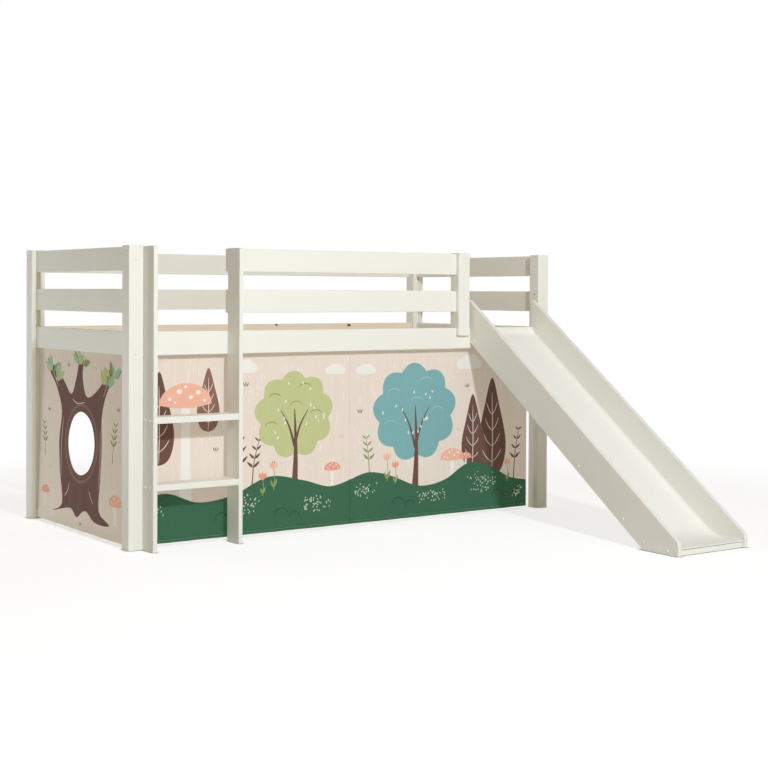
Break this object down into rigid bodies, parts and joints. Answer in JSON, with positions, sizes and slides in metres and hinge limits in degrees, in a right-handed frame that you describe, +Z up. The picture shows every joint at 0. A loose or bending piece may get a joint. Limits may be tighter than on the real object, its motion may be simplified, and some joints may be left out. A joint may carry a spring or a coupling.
{
  "type": "children's loft bed with slide",
  "caption": "Low white wooden loft bed with a ladder and a guard rail at the front, a straight slide, a slatted base, and a printed play curtain with a round peephole.",
  "frame": {"origin": "on the floor, under the middle of the box round the whole bed, slide included", "axes": "+X along the bed from the ladder end to the slide end, +Y from the front with the ladder to the back, +Z up"},
  "size_m": [2.1022, 2.2186, 1.15],
  "materials": {
    "post_lacquer": "white satin lacquer on solid wood posts",
    "board_lacquer": "white satin lacquer on solid wood boards",
    "slide_lacquer": "white satin lacquer on the slide's panels",
    "slide_laminate": "smooth white laminate on the slide's bed",
    "pine": "bare sanded pine",
    "printed_cotton": "plain weave cotton with a printed forest scene",
    "hook_tape": "white nylon hook tape",
    "cap_plastic": "white moulded plastic caps"
  },
  "bodies": {
    "root": {"post_front_left": "post_lacquer", "post_back_left": "post_lacquer", "post_front_right": "post_lacquer", "post_back_right": "post_lacquer", "end_board_left_top": "board_lacquer", "end_board_left_middle": "board_lacquer", "end_board_left_bottom": "board_lacquer", "end_board_right_top": "board_lacquer", "end_board_right_middle": "board_lacquer", "end_board_right_bottom": "board_lacquer", "side_rail_front": "board_lacquer", "side_rail_back": "board_lacquer", "back_board_top": "board_lacquer", "back_board_middle": "board_lacquer", "guard_board_top": "board_lacquer", "guard_board_middle": "board_lacquer", "ladder_stringer_left": "board_lacquer", "ladder_stringer_right": "board_lacquer", "ladder_rung_1": "board_lacquer", "ladder_rung_2": "board_lacquer", "guard_post": "post_lacquer", "slat_beam_front": "pine", "slat_beam_back": "pine", "slat_ledger_front": "pine", "slat_ledger_back": "pine", "slat_01": "pine", "slat_02": "pine", "slat_03": "pine", "slat_04": "pine", "slat_05": "pine", "slat_06": "pine", "slat_07": "pine", "slat_08": "pine", "slat_09": "pine", "slat_10": "pine", "slat_11": "pine", "slat_12": "pine", "slat_13": "pine", "slide_side_left": "slide_lacquer", "slide_side_right": "slide_lacquer", "slide_bed": "slide_laminate", "slide_foot_bar": "slide_lacquer", "slide_batten_1": "slide_lacquer", "slide_batten_2": "slide_lacquer", "slide_batten_3": "slide_lacquer", "slide_batten_4": "slide_lacquer", "slide_batten_5": "slide_lacquer", "curtain_front_left": "printed_cotton", "curtain_front_right": "printed_cotton", "curtain_side_left": "printed_cotton", "hook_tape_front": "hook_tape", "hook_tape_left": "hook_tape", "cap_front_left_top": "cap_plastic", "cap_front_left_rail": "cap_plastic", "cap_front_right_top": "cap_plastic", "cap_front_right_rail": "cap_plastic", "cap_left_side_top": "cap_plastic", "cap_left_side_middle": "cap_plastic", "cap_left_side_rail": "cap_plastic", "cap_left_back_top": "cap_plastic"}
  },
  "joints": []
}
